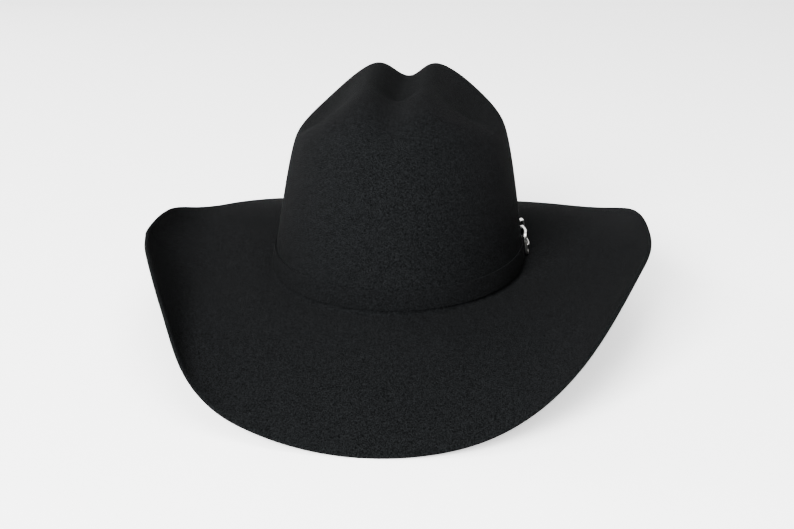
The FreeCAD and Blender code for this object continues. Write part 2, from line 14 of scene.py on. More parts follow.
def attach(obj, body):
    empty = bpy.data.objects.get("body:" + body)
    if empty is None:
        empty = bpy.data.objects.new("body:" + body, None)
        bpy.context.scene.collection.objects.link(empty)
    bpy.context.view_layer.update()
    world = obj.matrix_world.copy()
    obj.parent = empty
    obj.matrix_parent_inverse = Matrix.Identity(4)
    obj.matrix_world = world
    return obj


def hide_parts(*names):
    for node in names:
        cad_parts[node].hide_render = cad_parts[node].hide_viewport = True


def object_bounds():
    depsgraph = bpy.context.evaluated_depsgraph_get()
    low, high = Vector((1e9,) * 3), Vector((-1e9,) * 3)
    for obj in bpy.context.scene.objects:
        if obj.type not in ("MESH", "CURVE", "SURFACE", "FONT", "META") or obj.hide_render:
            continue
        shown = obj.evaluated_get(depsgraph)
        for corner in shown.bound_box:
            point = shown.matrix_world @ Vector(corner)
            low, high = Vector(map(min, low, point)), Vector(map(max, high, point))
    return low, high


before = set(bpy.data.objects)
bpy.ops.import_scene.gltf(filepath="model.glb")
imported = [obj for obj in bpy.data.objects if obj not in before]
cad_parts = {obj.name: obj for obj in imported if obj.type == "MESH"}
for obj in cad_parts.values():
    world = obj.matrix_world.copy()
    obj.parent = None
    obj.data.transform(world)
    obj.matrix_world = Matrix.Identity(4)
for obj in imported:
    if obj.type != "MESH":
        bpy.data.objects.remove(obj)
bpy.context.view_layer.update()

# Crown, as in the CAD model (mm, degrees)
HALF_WIDTH, HALF_LENGTH = 85.7, 104.0
CROWN_HEIGHT, CROWN_TILT, CROWN_LEAN, CROWN_SHIFT = 123.4, 6.0, 5.8, 2.7
TAPER, SQUARENESS = 0.229, 5.6
RIDGE_X, OPENING_SADDLE = 18.2, 1.2
DENT_RIGHT, DENT_LEFT = (79.6, 85.8), (76.3, 82.0)      # the shoulder's x and z
DENT_SOFTNESS, DENT_FROM = 2.4, 0.3
HOLLOW_DEPTH, HOLLOW_X, HOLLOW_WIDTH = 6.0, 45.5, 15.6
HOLLOW_FRONT, HOLLOW_RAMP, HOLLOW_REAR, HOLLOW_FADE = -32.0, 26.0, 75.0, 70.0
HOLLOW_FROM, HOLLOW_RISE = 0.35, 0.3                    # shares of the crown's height
CREASE_DEPTH, CREASE_WIDTH, CREASE_X, CREASE_POWER = 15.5, 12.9, 1.6, 6
CREASE_LIP, LIP_FRONT, LIP_RAMP = 0.45, -28.0, 30.0

# Brim (mm, degrees); pairs are for the +X side and the -X side, except in the dips
BRIM_WIDTH, BRIM_FRONT, BRIM_BACK = 91.1, 10.9, 0.9
BRIM_CORNER, BRIM_CORNER_BACK, BRIM_SIDE = (3.0, 2.7), (1.6, 3.6), (-2.6, 4.7)
ROLL_ANGLE, ROLL_START, ROLL_POWER = (60.4, 79.3), (89.5, 138.5), (2.22, 1.72)
ROLL_SKEW, ROLL_SKEW_FROM, ROLL_SKEW_POWER = (62.4, 74.1), (8.3, 12.2), (1.43, 1.2)
ROLL_SKEW_BACK, ROLL_SKEW_FROM_BACK, ROLL_SKEW_POWER_BACK = (-21.8, -16.9), 30.0, 1.5
ROLL_GAIN_FRONT, ROLL_LOSS_BACK = (0.15, 0.38), (0.45, 0.33)
ROLL_LIMIT = 78.0
DIP_FRONT, DIP_BACK = (43.3, 74.5), (25.7, 56.6)        # angle, and where the dip starts
SLOPE_REACH = 1.3                                       # roll and dip stop growing here
BRIM_BREAK, FELT = 2.0, 2.4

# Band and buckle set (mm); D_ names are distances off the crown's wall
STRAP, STRAP_WIDTH, STRAP_H, STRAP_EDGE = 0.8, 12.5, 8.7, 0.3
BAR_R, BAR_FROM_SIDE = 0.7, 20.0
BAR_CLEAR, BAND_GAP = 0.08, 0.25
FOLD_R = BAR_R + BAR_CLEAR + STRAP / 2
D_INNER = BAND_GAP + STRAP / 2
D_BAR = D_INNER + FOLD_R
D_OUTER = D_BAR + FOLD_R
D_TAIL = D_OUTER + 0.95
D_END = D_INNER + 1.75
RETURN_END, FLAT_END, DROP_END = 8.0, 20.0, 30.0
RISE_START, RISE_END, STRAP_END = -12.5, -1.0, 41.0

# Slots that the prong and its eye need in the strap (mm, in the heel bar's own axes): name,
# start and end along the strap, half height, and inner and outer reach off the crown
TAIL_BASE = FOLD_R + STRAP / 2 + 0.1
SLOTS = (
    ("slot_tail", -8.8, 1.6, 0.9, TAIL_BASE, 3.4),
    ("slot_front", -8.8, -1.2, 0.9, -0.8, 3.4),
    ("slot_fold", -3.2, 2.3, 1.3, -1.9, TAIL_BASE - 0.05),
)

# Sweatband, its tape, stitches, bow and label (mm, depths measured in from the crown's outside)
SWEAT_OUT, SWEAT_IN = 3.3, 4.2
SWEAT_LOW, SWEAT_HIGH, SWEAT_GAP = 1.0, 54.0, 0.4
GROOVE_H, GROOVE_WIDTH, GROOVE_DEPTH = 49.5, 0.7, 0.22
TAPE_OUT, TAPE_IN, TAPE_LOW, TAPE_HIGH, TAPE_GAP = 2.8, 3.1, 0.2, 5.6, 0.6
ROW_COUNT, ROW_H, ROW_HALF, ROW_RADIUS, ROW_R = 96, 3.6, 1.7, 95.0, 0.22
SEAM_COUNT, SEAM_START, SEAM_STEP, SEAM_R = 13, -20.0, 3.5, 0.2
SEAM_HALF, SEAM_SLANT = 1.9, 1.2
ROW_CLEAR, SEAM_CLEAR, SEAM_OVER, STITCH_ARCH = 0.16, 0.30, 0.1, 0.16
BOW_H, BOW_OFF, RIBBON, KNOT_RIBBON = 9.0, 0.8, 0.3, 0.35
LABEL_STATION, LABEL_HALF, LABEL_LOW, LABEL_HIGH = 1.25 * math.pi, 8.0, 16.0, 27.0
LABEL_OUT, LABEL_IN = SWEAT_IN + 0.12, SWEAT_IN + 0.42

# Lining (mm, shares of the crown's height, and height over radius for the upper limits)
LINING_DEPTH, SATIN_THICK = 2.65, 0.35
SIDE_LOW, SIDE_TOP, TIP_LOW = 0.08, 0.63, 0.575
SEAM_SHARE, LOOSE_FROM = 0.56, 0.45
MIDDLE = 1 / 0.004                                      # the row next to the crown's middle

# Mesh density
AROUND, CROWN_ROWS, BRIM_ROWS = 256, 90, 72
THREAD_SIDES = 8

# Room, light and camera (m, W, degrees)
FLOOR_REACH, FLOOR_GLOW = 40.0, 1.1
WORLD_LIGHT = 0.15
LIGHT_TARGET = Vector((0, 0, 0.03))
LIGHTS = (                                              # name, place, side and power
    ("key_left", (-0.65, -1.8, 1.2), 1.0, 250),
    ("fill_right", (0.7, -1.5, 1.5), 0.8, 30),
    ("top", (0.2, -0.3, 1.9), 1.2, 50),
    ("back_left", (-1.5, 0.8, 0.7), 0.6, 25),
    ("back", (0.2, 1.9, 1.0), 1.0, 12),
)
CAMERA_YAW, CAMERA_ELEVATION, CAMERA_ROLL = 5.52, 21.46, -0.627
CAMERA_DISTANCE, CAMERA_LENS, CAMERA_SHIFT = 0.7988, 52.57, (-0.0028, -0.0125)

UP = np.array([0.0, 0.0, 1.0])


# The hat's shape

def unit(v):
    return v / np.linalg.norm(v, axis=-1, keepdims=True)


def ease(q):
    q = np.clip(q, 0, 1)
    return q * q * (3 - 2 * q)


def simpson(f, upper, steps=24):
    """Integral of f from 0 to upper, for an array of upper limits."""
    weights = np.full(steps + 1, 2.0)
    weights[1::2] = 4.0
    weights[[0, -1]] = 1.0
    q = upper[..., None] * np.linspace(0, 1, steps + 1)
    return (f(q) * weights).sum(-1) * upper / steps / 3


def base(t):
    """The brim break: the oval where crown and brim meet."""
    return np.stack([HALF_WIDTH * np.sin(t), -HALF_LENGTH * np.cos(t),
                     OPENING_SADDLE * np.cos(2 * t)], -1)


def by_side(right, pair):
    return np.where(right, *pair)


def roll_slope(u, right, v):
    """Sideways slope of the brim, u mm off the middle and v mm towards the back."""
    reach = HALF_LENGTH + BRIM_WIDTH + BRIM_FRONT
    share = (np.abs(v) / reach) ** 2
    front = v < 0
    gain = np.where(front, 1 + by_side(right, ROLL_GAIN_FRONT) * share,
                    1 - by_side(right, ROLL_LOSS_BACK) * share)
    skew = np.where(front, by_side(right, ROLL_SKEW), by_side(right, ROLL_SKEW_BACK))
    begin = np.where(front, by_side(right, ROLL_SKEW_FROM), ROLL_SKEW_FROM_BACK)
    power = np.where(front, by_side(right, ROLL_SKEW_POWER), ROLL_SKEW_POWER_BACK)
    skew = skew * (np.maximum(np.abs(v) - begin, 0) / (reach - begin)) ** power
    start = by_side(right, ROLL_START)
    q = np.clip((u + skew - start) / (HALF_WIDTH + BRIM_WIDTH - start), 0, SLOPE_REACH)
    slope = by_side(right, ROLL_ANGLE) * gain * q ** by_side(right, ROLL_POWER)
    return np.radians(np.minimum(slope, ROLL_LIMIT))


def dip_slope(v, front):
    """Downward slope of the brim's front and back, v mm off the middle."""
    angle, start = (np.where(front, a, b) for a, b in zip(DIP_FRONT, DIP_BACK))
    reach = HALF_LENGTH + BRIM_WIDTH + BRIM_FRONT
    return np.radians(angle) * np.clip((v - start) / (reach - start), 0, SLOPE_REACH)


def brim_width(t):
    c = np.cos(t)
    right = np.sin(t) > 0
    extra = np.where(c > 0, BRIM_FRONT, BRIM_BACK) * c * c
    corner = np.where(c > 0, by_side(right, BRIM_CORNER), by_side(right, BRIM_CORNER_BACK))
    return (BRIM_WIDTH + extra + corner * np.sin(2 * t) ** 2
            + by_side(right, BRIM_SIDE) * np.sin(t) ** 8)


def brim(t, out):
    """Points of the brim's upper face, out mm from the brim break along the felt."""
    p = base(t)
    plan = unit(np.stack([np.sin(t) / HALF_WIDTH, -np.cos(t) / HALF_LENGTH], -1))
    u, v = p[..., 0] + plan[..., 0] * out, p[..., 1] + plan[..., 1] * out
    right, front, v_in = (u > 0)[..., None], (v < 0)[..., None], v[..., None]

    def across(part):
        def slope(q):
            return part(roll_slope(q, right, v_in))
        return simpson(slope, np.abs(u)) - simpson(slope, np.abs(p[..., 0]) + 0 * u)

    def lengthwise(part):
        def slope(q):
            return part(dip_slope(q, front))
        return simpson(slope, np.abs(v)) - simpson(slope, np.abs(p[..., 1]) + 0 * v)

    return np.stack([p[..., 0] + np.sign(u) * across(np.cos),
                     p[..., 1] + np.sign(v) * lengthwise(np.cos),
                     p[..., 2] + across(np.sin) - lengthwise(np.sin)], -1)


def crown(t, rho, zet):
    """Points of the crown's outside, from shares rho of its radius and zet of its height."""
    z0 = base(t)[..., 2]
    shrink = rho * (1 - TAPER * zet)
    x = HALF_WIDTH * np.sin(t) * shrink + CROWN_SHIFT * zet
    y = -HALF_LENGTH * np.cos(t) * shrink + CROWN_LEAN * zet
    top = CROWN_HEIGHT + CROWN_TILT * y / HALF_LENGTH
    z = z0 * (1 - zet) + top * zet
    shoulder_x, shoulder_z = (np.where(x > 0, a, b) for a, b in zip(DENT_RIGHT, DENT_LEFT))
    slope = (shoulder_z - CROWN_HEIGHT) / (shoulder_x - RIDGE_X)
    plane = top + slope * (np.abs(x) - RIDGE_X)
    excess = np.clip((z - plane) / DENT_SOFTNESS, -30, 30)
    press = DENT_SOFTNESS * np.log1p(np.exp(excess))
    z = z - np.where(zet > DENT_FROM, press, 0)
    lip = 1 - CREASE_LIP * (1 - ease((y - LIP_FRONT) / LIP_RAMP))
    groove = np.exp(-((x - CREASE_X) / CREASE_WIDTH) ** 2)
    z = z - CREASE_DEPTH * lip * groove * zet ** CREASE_POWER
    reach = ease((y - HOLLOW_FRONT) / HOLLOW_RAMP) * ease((HOLLOW_REAR - y) / HOLLOW_FADE)
    hollow = HOLLOW_DEPTH * np.exp(-((np.abs(x) - HOLLOW_X) / HOLLOW_WIDTH) ** 2)
    z = z - hollow * reach * ease((zet - HOLLOW_FROM) / HOLLOW_RISE)
    return np.stack([x, y, z], -1)


def wall_point(t, h):
    """Point of the crown's outside, about h mm above the brim break."""
    zet = np.maximum(h, 0) / (CROWN_HEIGHT - CROWN_TILT * np.cos(t) - base(t)[..., 2])
    return crown(t, (1 - zet ** SQUARENESS) ** (1 / SQUARENESS), zet)


def wall_frame(t, h):
    """Point, outward normal, tangent and upward direction on the crown's wall."""
    t, h = np.broadcast_arrays(np.asarray(t, float), np.asarray(h, float))
    rise = wall_point(t, h + 3) - wall_point(t, h - 3)
    along = unit(wall_point(t + 0.02, h) - wall_point(t - 0.02, h))
    out = unit(np.cross(along, rise))
    return wall_point(t, h), out, along, np.cross(out, along)


# Felt body: one closed skin from the middle of the crown over the brim's edge and back inside

def crown_rows(t, count, top_angle, low_angle):
    """Rows of the crown's outside between two angles of height over radius."""
    g = np.linspace(top_angle, low_angle, count)[:, None]
    size = (np.cos(g) ** SQUARENESS + np.sin(g) ** SQUARENESS) ** (1 / SQUARENESS)
    return crown(t[None, :], np.cos(g) / size, np.sin(g) / size)


def outer_rows(t):
    """Rows down the crown, through the curved break and out to the brim's edge."""
    top = crown_rows(t, CROWN_ROWS, math.atan(MIDDLE), math.atan(BRIM_BREAK / CROWN_HEIGHT))
    q = np.linspace(0, 1, 8)[1:-1, None, None]
    foot = (top[-1] * (1 - q) ** 2 + base(t) * (2 * q * (1 - q))
            + brim(t, BRIM_BREAK + 0 * t) * q * q)
    share = np.linspace(0, 1, BRIM_ROWS)[:, None]
    reach = brim_width(t)[None, :] - FELT / 2
    flat = brim(t[None, :], BRIM_BREAK + (reach - BRIM_BREAK) * share)
    return np.concatenate([top, foot, flat])


def row_normals(rows):
    down = np.gradient(rows, axis=0)
    round_ = np.roll(rows, -1, 1) - np.roll(rows, 1, 1)
    normals = unit(np.cross(down, round_))
    normals[0] = UP
    return normals


def felt_skin():
    t = np.linspace(0, 2 * math.pi, AROUND, endpoint=False)
    outer = outer_rows(t)
    normals = row_normals(outer)
    edge_out = unit(outer[-1] - outer[-2])
    middle = outer[-1] - normals[-1] * (FELT / 2)
    a = np.linspace(0, math.pi, 9)[1:-1, None, None]
    rim = middle + (normals[-1] * np.cos(a) + edge_out * np.sin(a)) * (FELT / 2)
    inner = (outer - normals * FELT)[::-1]
    return np.concatenate([outer, rim, inner])


# Meshes

def mesh_object(name, verts, faces):
    """Smooth piece that rides on the hat, from points in millimetres."""
    mesh = bpy.data.meshes.new(name)
    mesh.from_pydata((np.asarray(verts, float).reshape(-1, 3) / 1000).tolist(), [], faces)
    mesh.update()
    for polygon in mesh.polygons:
        polygon.use_smooth = True
    obj = bpy.data.objects.new(name, mesh)
    bpy.context.scene.collection.objects.link(obj)
    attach(obj, "hat")
    return obj


def lattice_faces(rows, cols, round_rows=False, start=0):
    """Faces between rows of points that close on themselves; round_rows joins last to first."""
    faces = []
    for j in range(rows if round_rows else rows - 1):
        for i in range(cols):
            a, b = j * cols + i, j * cols + (i + 1) % cols
            c, d = (j + 1) % rows * cols + (i + 1) % cols, (j + 1) % rows * cols + i
            faces.append([start + a, start + b, start + c, start + d])
    return faces


def cap_faces(rows, cols, start=0):
    """Flat caps on the first and the last row."""
    last = start + (rows - 1) * cols
    return [[start + i for i in range(cols)][::-1], [last + i for i in range(cols)]]


def tube_object(name, rings):
    """Closed skin through equal rings of points, with flat caps."""
    count, cols = rings.shape[:2]
    return mesh_object(name, rings, lattice_faces(count, cols) + cap_faces(count, cols))


def threads_object(name, lines, radius):
    """Round threads along lines of points, with domed ends."""
    verts, faces = [], []
    ring = np.linspace(0, 2 * math.pi, THREAD_SIDES, endpoint=False)
    for line in lines:
        line = np.asarray(line, float)
        run = unit(np.gradient(line, axis=0))
        side = unit(np.cross(run, np.array([0.31, 0.47, 0.83])))
        other = np.cross(run, side)
        last = len(line) - 1
        profile = [(0, -0.9, 0.35), (0, -0.5, 0.85)]
        profile += [(k, 0.0, 1.0) for k in range(len(line))]
        profile += [(last, 0.5, 0.85), (last, 0.9, 0.35)]
        start = len(verts)
        for k, shift, size in profile:
            centre = line[k] + run[k] * shift * radius
            for a in ring:
                verts.append(centre + (side[k] * math.cos(a) + other[k] * math.sin(a))
                             * radius * size)
        faces += lattice_faces(len(profile), THREAD_SIDES, start=start)
        faces += cap_faces(len(profile), THREAD_SIDES, start)
    return mesh_object(name, verts, faces)


def fix_normals(obj):
    work = bmesh.new()
    work.from_mesh(obj.data)
    bmesh.ops.recalc_face_normals(work, faces=work.faces)
    work.to_mesh(obj.data)
    work.free()


def wall_sheet(name, stations, outline):
    """Skin swept round the wall; outline is the closed cross-section as (depth, height)."""
    depth, height = np.asarray(outline, float).T
    p, out, _, up = wall_frame(stations[:, None], np.maximum(height, 0.0)[None, :])
    points = p - out * depth[:, None] + up * np.minimum(height, 0.0)[:, None]
    obj = tube_object(name, points)
    fix_normals(obj)
    return obj


# Materials

def shader_of(mat):
    return mat.node_tree.nodes["Principled BSDF"]


def material(name, base_color, roughness, metallic=0.0, sheen=0.0, coat=0.0):
    mat = bpy.data.materials.new(name)
    mat.use_nodes = True
    shader = shader_of(mat)
    shader.inputs["Base Color"].default_value = (*base_color, 1)
    shader.inputs["Roughness"].default_value = roughness
    shader.inputs["Metallic"].default_value = metallic
    shader.inputs["Sheen Weight"].default_value = sheen
    shader.inputs["Coat Weight"].default_value = coat
    return mat


def add_node(mat, kind, **settings):
    node = mat.node_tree.nodes.new(kind)
    for key, value in settings.items():
        if key in node.inputs:
            node.inputs[key].default_value = value
        else:
            setattr(node, key, value)
    return node


def link(mat, source, output, target, socket):
    mat.node_tree.links.new(source.outputs[output], target.inputs[socket])


def noise(mat, scale, detail=4.0, roughness=0.6, stretch=None):
    coords = add_node(mat, "ShaderNodeTexCoord")
    tex = add_node(mat, "ShaderNodeTexNoise", Scale=scale, Detail=detail, Roughness=roughness)
    if stretch:
        mapping = add_node(mat, "ShaderNodeMapping", Scale=stretch)
        link(mat, coords, "Object", mapping, "Vector")
        link(mat, mapping, "Vector", tex, "Vector")
    else:
        link(mat, coords, "Object", tex, "Vector")
    return tex


def tint(mat, tex, low, high, dark, light):
    """Base colour runs from dark to light as the texture goes from low to high."""
    ramp = add_node(mat, "ShaderNodeValToRGB")
    ramp.color_ramp.elements[0].position = low
    ramp.color_ramp.elements[1].position = high
    ramp.color_ramp.elements[0].color = (*dark, 1)
    ramp.color_ramp.elements[1].color = (*light, 1)
    link(mat, tex, "Fac", ramp, "Fac")
    link(mat, ramp, "Color", shader_of(mat), "Base Color")


def bump(mat, tex, strength, distance, under=None, output="Fac"):
    node = add_node(mat, "ShaderNodeBump", Strength=strength, Distance=distance)
    link(mat, tex, output, node, "Height")
    if under:
        link(mat, under, "Normal", node, "Normal")
    link(mat, node, "Normal", shader_of(mat), "Normal")
    return node


def felt_material(name, dark, light):
    """Matt fur felt: a fine grain over a soft, uneven nap."""
    mat = material(name, light, 0.95, sheen=0.002)
    shader_of(mat).inputs["Sheen Roughness"].default_value = 0.5
    shader_of(mat).inputs["Specular IOR Level"].default_value = 0.02
    grain = noise(mat, scale=1350.0, detail=3.0, roughness=0.75)
    tint(mat, grain, 0.41, 0.61, dark, light)
    nap = bump(mat, noise(mat, scale=60.0, detail=3.0, roughness=0.55),
               strength=0.25, distance=0.0015)
    bump(mat, grain, strength=0.8, distance=0.0012, under=nap)
    return mat


def leather_material():
    """Smooth leather: cloudy colour, broad creases and small cells."""
    mat = material("sweatband_leather", (0.05, 0.035, 0.028), 0.48, coat=0.08)
    tint(mat, noise(mat, scale=35.0, detail=5.0), 0.3, 0.75,
         dark=(0.020, 0.014, 0.011), light=(0.045, 0.031, 0.024))
    coords = add_node(mat, "ShaderNodeTexCoord")
    cells = add_node(mat, "ShaderNodeTexVoronoi", Scale=900.0, feature="DISTANCE_TO_EDGE")
    link(mat, coords, "Object", cells, "Vector")
    creases = bump(mat, noise(mat, scale=160.0), strength=0.2, distance=0.0008)
    bump(mat, cells, strength=0.4, distance=0.0004, under=creases, output="Distance")
    return mat


def cloth_material(name, dark, light, roughness, sheen, threads, strength):
    """Woven cloth: two crossed sets of fine threads."""
    mat = material(name, light, roughness, sheen=sheen)
    tint(mat, noise(mat, scale=90.0), 0.3, 0.7, dark, light)
    coords = add_node(mat, "ShaderNodeTexCoord")
    height = None
    for direction in ("Z", "DIAGONAL"):
        wave = add_node(mat, "ShaderNodeTexWave", Scale=threads, bands_direction=direction)
        wave.inputs["Distortion"].default_value = 0.6
        link(mat, coords, "Object", wave, "Vector")
        height = bump(mat, wave, strength, distance=0.0003, under=height)
    return mat


def metal_material(name, color, roughness):
    """Brushed metal: long fine scratches that vary the gloss."""
    mat = material(name, color, roughness, metallic=1.0)
    tint(mat, noise(mat, scale=300.0), 0.3, 0.7, [c * 0.82 for c in color], color)
    scratches = noise(mat, scale=900.0, detail=3.0, stretch=(1.0, 1.0, 0.06))
    spread = add_node(mat, "ShaderNodeMapRange")
    spread.inputs["To Min"].default_value = roughness * 0.7
    spread.inputs["To Max"].default_value = roughness * 1.5
    link(mat, scratches, "Fac", spread, "Value")
    link(mat, spread, "Result", shader_of(mat), "Roughness")
    bump(mat, scratches, strength=0.12, distance=0.0002)
    return mat


def dress(obj, mat):
    obj.data.materials.clear()
    obj.data.materials.append(mat)


FELT_MAT = felt_material("black_felt", dark=(0.0003, 0.0004, 0.0004),
                         light=(0.0057, 0.0062, 0.0066))
BAND_MAT = felt_material("band_felt", dark=(0.0007, 0.0008, 0.0008),
                         light=(0.0047, 0.0051, 0.0055))
LEATHER_MAT = leather_material()
SATIN_MAT = cloth_material("satin", dark=(0.012, 0.012, 0.014), light=(0.03, 0.03, 0.034),
                           roughness=0.34, sheen=0.35, threads=900.0, strength=0.12)
RIBBON_MAT = cloth_material("ribbon", dark=(0.006, 0.006, 0.007), light=(0.02, 0.02, 0.022),
                            roughness=0.6, sheen=0.3, threads=500.0, strength=0.35)
TAPE_MAT = cloth_material("woven_tape", dark=(0.01, 0.01, 0.01), light=(0.035, 0.034, 0.032),
                          roughness=0.85, sheen=0.3, threads=450.0, strength=0.4)
LABEL_MAT = cloth_material("woven_label", dark=(0.42, 0.41, 0.38), light=(0.62, 0.60, 0.55),
                           roughness=0.8, sheen=0.2, threads=500.0, strength=0.3)
THREAD_MAT = cloth_material("thread", dark=(0.008, 0.008, 0.008), light=(0.03, 0.03, 0.03),
                            roughness=0.6, sheen=0.3, threads=700.0, strength=0.5)
STEEL_MAT = metal_material("buckle_steel", (0.62, 0.61, 0.59), 0.26)

FILM_MAT = material("clear_film", (0.85, 0.87, 0.88), 0.12, coat=0.5)
shader_of(FILM_MAT).inputs["Alpha"].default_value = 0.18
bump(FILM_MAT, noise(FILM_MAT, scale=40.0, detail=2.0), strength=0.15, distance=0.001)

REED_MAT = material("reed_plastic", (0.02, 0.02, 0.02), 0.4)
bump(REED_MAT, noise(REED_MAT, scale=500.0, detail=3.0), strength=0.2, distance=0.0003)


# Felt body

def make_felt():
    felt = tube_object("felt_body_skin", felt_skin())
    dress(felt, FELT_MAT)
    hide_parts("felt_body")


# Band

def strap_path():
    """The strap's middle line as rows of (distance behind the heel bar, off the crown)."""
    def run(start, end, count, d0, d1):
        q = np.linspace(0, 1, count, endpoint=False)
        return np.stack([start + (end - start) * q, d0 + (d1 - d0) * ease(q)], -1)
    turn = 2 * math.pi * HALF_LENGTH
    a = np.linspace(0, math.pi, 17)[:-1]
    fold = np.stack([-FOLD_R * np.sin(a), D_BAR - FOLD_R * np.cos(a)], -1)
    return np.concatenate([
        run(RETURN_END, 0, 8, D_INNER, D_INNER), fold,
        run(0, FLAT_END, 16, D_OUTER, D_OUTER),
        run(FLAT_END, DROP_END, 16, D_OUTER, D_INNER),
        run(DROP_END, turn + RISE_START, 240, D_INNER, D_INNER),
        run(turn + RISE_START, turn + RISE_END, 24, D_INNER, D_TAIL),
        run(turn + RISE_END, turn + FLAT_END, 20, D_TAIL, D_TAIL),
        run(turn + FLAT_END, turn + DROP_END, 16, D_TAIL, D_END),
        run(turn + DROP_END, turn + STRAP_END, 9, D_END, D_END),
        [[turn + STRAP_END, D_END]]])


def strap_station(s):
    return math.pi / 2 + (BAR_FROM_SIDE + s) / HALF_LENGTH


def rounded_section(half_w, half_t, r, steps=4):
    """Closed outline of a flat strap with rounded edges, as (across, through)."""
    points = []
    for k, (sx, sy) in enumerate(((1, 1), (-1, 1), (-1, -1), (1, -1))):
        for a in np.linspace(0, math.pi / 2, steps):
            angle = a + k * math.pi / 2
            points.append((sx * (half_w - r) + r * math.cos(angle),
                           sy * (half_t - r) + r * math.sin(angle)))
    return np.array(points)


def bar_to_world():
    """Matrix of the heel bar's own axes: off the crown, along the strap, and up."""
    p, out, along, up = wall_frame(strap_station(0.0), STRAP_H)
    place = Matrix([axis.tolist() for axis in (out, along, up)]).transposed().to_4x4()
    place.translation = Vector((p + out * D_BAR) / 1000)
    return place


def obround(name, y0, y1, half_z, x0, x1):
    """Cutter with rounded ends, drawn in the heel bar's own axes."""
    outline = [(y1 - half_z + half_z * math.cos(a), half_z * math.sin(a))
               for a in np.linspace(-math.pi / 2, math.pi / 2, 9)]
    outline += [(y0 + half_z + half_z * math.cos(a), half_z * math.sin(a))
                for a in np.linspace(math.pi / 2, 1.5 * math.pi, 9)]
    verts = [(x / 1000, y / 1000, z / 1000) for x in (x0, x1) for y, z in outline]
    count = len(outline)
    faces = cap_faces(2, count)
    faces += [[i, (i + 1) % count, count + (i + 1) % count, count + i] for i in range(count)]
    mesh = bpy.data.meshes.new(name)
    mesh.from_pydata(verts, [], faces)
    cutter = bpy.data.objects.new(name, mesh)
    bpy.context.scene.collection.objects.link(cutter)
    cutter.matrix_world = bar_to_world()
    fix_normals(cutter)
    return cutter


def cut(obj, cutter):
    bpy.context.view_layer.update()
    modifier = obj.modifiers.new("slot", "BOOLEAN")
    modifier.operation = "DIFFERENCE"
    modifier.object = cutter
    modifier.solver = "EXACT"
    with bpy.context.temp_override(object=obj, active_object=obj, selected_objects=[obj]):
        bpy.ops.object.modifier_apply(modifier="slot")
    bpy.data.objects.remove(cutter)


def make_band():
    s, d = strap_path().T
    p, out, _, up = wall_frame(strap_station(s), STRAP_H)
    middle = p + out * d[:, None]
    across = unit(np.cross(np.gradient(middle, axis=0), up))
    section = rounded_section(STRAP_WIDTH / 2, STRAP / 2, STRAP_EDGE)
    rings = (middle[:, None] + up[:, None] * section[None, :, :1]
             + across[:, None] * section[None, :, 1:])
    band = tube_object("hat_band_strap", rings)
    fix_normals(band)
    for slot in SLOTS:
        cut(band, obround(*slot))
    for polygon in band.data.polygons:
        polygon.use_smooth = True
    dress(band, BAND_MAT)
    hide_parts("hat_band")


# Sweatband

def sheet_outline(depth0, depth1, low, high, rows):
    """Closed cross-section of a thin sheet standing on the wall, with rounded edges."""
    r = (depth1 - depth0) / 2
    middle = (depth0 + depth1) / 2
    heights = np.linspace(low + r, high - r, rows)
    bends = np.linspace(0, math.pi, 6)[1:-1]
    inside = [(depth1, h) for h in heights]
    top = [(middle + r * math.cos(a), high - r + r * math.sin(a)) for a in bends]
    outside = [(depth0, h) for h in heights[::-1]]
    foot = [(middle - r * math.cos(a), low + r - r * math.sin(a)) for a in bends]
    return np.array(inside + top + outside + foot)


def back_to_back(gap_mm, count):
    """Stations once round the hat, from the back seam to the back seam."""
    gap = gap_mm / HALF_WIDTH
    return np.linspace(math.pi + gap, 3 * math.pi - gap, count)


def make_sweatband():
    outline = sheet_outline(SWEAT_OUT, SWEAT_IN, SWEAT_LOW, SWEAT_HIGH, 40)
    inner_face = outline[:, 0] > SWEAT_IN - 0.01
    groove = np.exp(-((outline[:, 1] - GROOVE_H) / GROOVE_WIDTH) ** 2) * inner_face
    outline[:, 0] -= GROOVE_DEPTH * groove
    band = wall_sheet("sweatband_leather", back_to_back(SWEAT_GAP, 220), outline)
    dress(band, LEATHER_MAT)
    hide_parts("sweatband")
    outline = sheet_outline(TAPE_OUT, TAPE_IN, TAPE_LOW, TAPE_HIGH, 8)
    tape = wall_sheet("reed_tape_strip", back_to_back(TAPE_GAP, 200), outline)
    dress(tape, TAPE_MAT)
    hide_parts("reed_tape")


def make_sweatband_stitches():
    """A row of stitches round the sweatband's foot, and crossed stitches up its back seam."""
    lines = []
    for i in range(ROW_COUNT):
        t0 = math.pi + 2 * math.pi * (i + 0.5) / ROW_COUNT
        sweep = np.linspace(-ROW_HALF, ROW_HALF, 7)
        p, out = wall_frame(t0 + sweep / ROW_RADIUS, ROW_H + 0 * sweep)[:2]
        depth = SWEAT_IN + ROW_CLEAR + STITCH_ARCH * (1 - (sweep / ROW_HALF) ** 4)
        lines.append(p - out * depth[:, None])
    stitches = threads_object("sweatband_stitch_row", lines, ROW_R)
    dress(stitches, THREAD_MAT)
    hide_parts("sweatband_stitches")

    p, out, along, up = wall_frame(math.pi, (SWEAT_LOW + SWEAT_HIGH) / 2)
    q = np.linspace(-1, 1, 7)[:, None]
    lines = []
    for i in range(SEAM_COUNT):
        for k in (1, -1):
            over = SEAM_OVER if k > 0 else 0.0
            lift = SWEAT_IN + SEAM_CLEAR + STITCH_ARCH * (1 - q ** 4) + over
            lines.append(p - out * lift + up * (SEAM_START + SEAM_STEP * i)
                         + along * (SEAM_HALF * k * q) + up * (SEAM_SLANT * q))
    seam = threads_object("sweatband_seam_thread", lines, SEAM_R)
    dress(seam, THREAD_MAT)
    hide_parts("sweatband_seam_stitches")


